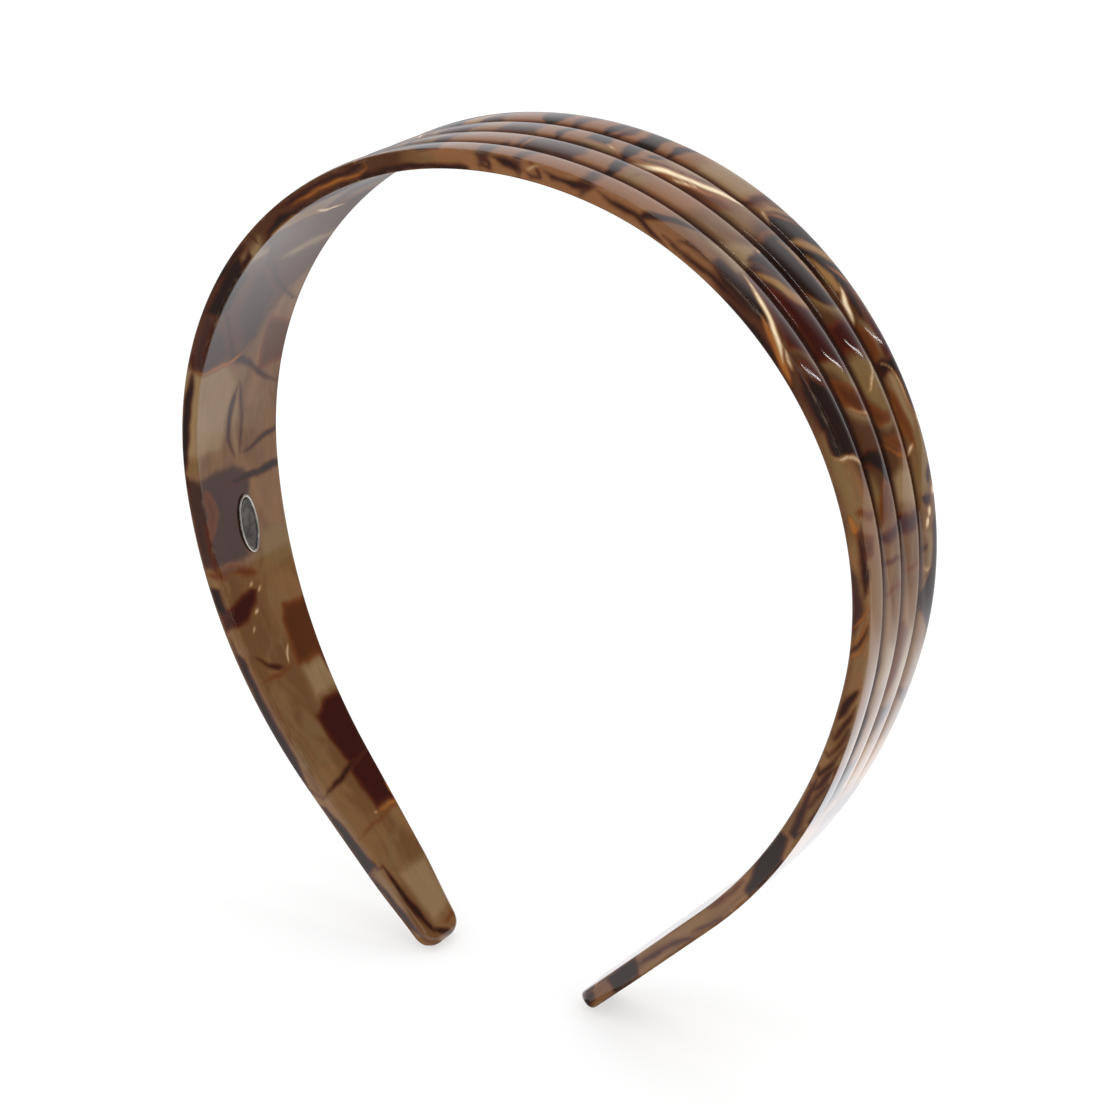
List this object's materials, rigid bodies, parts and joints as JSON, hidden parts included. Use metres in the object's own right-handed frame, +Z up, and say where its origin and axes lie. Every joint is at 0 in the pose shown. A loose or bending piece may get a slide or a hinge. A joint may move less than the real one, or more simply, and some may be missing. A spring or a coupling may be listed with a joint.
{
  "type": "headband",
  "caption": "Wide springy acetate headband: a tapered horseshoe strip with long rounded lobes along its outer face, rounded tips and a small metal plaque inside one leg.",
  "frame": {"origin": "on the ground under the middle of the arch, which stands on its two tips; on the arch's own centre plane", "axes": "+Z up from the tips to the crown, X across the arch with +X towards the right leg, -Y the front long edge and +Y the back long edge"},
  "size_m": [0.1336, 0.0282, 0.1539],
  "materials": {
    "acetate": "polished tortoiseshell cellulose acetate, blocks of olive, taupe, cognac and near-black brown",
    "plaque_metal": "satin nickel-silver plaque with a polished rim, blank"
  },
  "bodies": {
    "crown": {"crown": "acetate"},
    "left_shoulder": {"left_shoulder": "acetate"},
    "left_arm": {"left_arm": "acetate", "plaque": "plaque_metal"},
    "left_tip": {"left_tip": "acetate"},
    "right_shoulder": {"right_shoulder": "acetate"},
    "right_arm": {"right_arm": "acetate"},
    "right_tip": {"right_tip": "acetate"}
  },
  "joints": [
    {"name": "left_shoulder_flex", "type": "hinge", "parent": "crown", "child": "left_shoulder", "pos_m": [-0.02909, 0, 0.14586], "axis": [0, 1, 0], "range_deg": [-2.5, 13], "stiffness_Nm_per_rad": 2.2},
    {"name": "left_arm_flex", "type": "hinge", "parent": "left_shoulder", "child": "left_arm", "pos_m": [-0.06221, 0, 0.1077], "axis": [0, 1, 0], "range_deg": [-2.12, 11.05], "stiffness_Nm_per_rad": 1.85},
    {"name": "left_tip_flex", "type": "hinge", "parent": "left_arm", "child": "left_tip", "pos_m": [-0.05096, 0, 0.04263], "axis": [0, 1, 0], "range_deg": [-1.5, 7.8], "stiffness_Nm_per_rad": 0.9},
    {"name": "right_shoulder_flex", "type": "hinge", "parent": "crown", "child": "right_shoulder", "pos_m": [0.02909, 0, 0.14586], "axis": [0, -1, 0], "range_deg": [-2.5, 13], "stiffness_Nm_per_rad": 2.2},
    {"name": "right_arm_flex", "type": "hinge", "parent": "right_shoulder", "child": "right_arm", "pos_m": [0.06221, 0, 0.1077], "axis": [0, -1, 0], "range_deg": [-2.12, 11.05], "stiffness_Nm_per_rad": 1.85},
    {"name": "right_tip_flex", "type": "hinge", "parent": "right_arm", "child": "right_tip", "pos_m": [0.05096, 0, 0.04263], "axis": [0, -1, 0], "range_deg": [-1.5, 7.8], "stiffness_Nm_per_rad": 0.9}
  ],
  "couplings": [
    {"joint": "left_arm_flex", "follows": "left_shoulder_flex", "ratio": 0.85},
    {"joint": "left_tip_flex", "follows": "left_shoulder_flex", "ratio": 0.6},
    {"joint": "right_arm_flex", "follows": "right_shoulder_flex", "ratio": 0.85},
    {"joint": "right_tip_flex", "follows": "right_shoulder_flex", "ratio": 0.6}
  ]
}
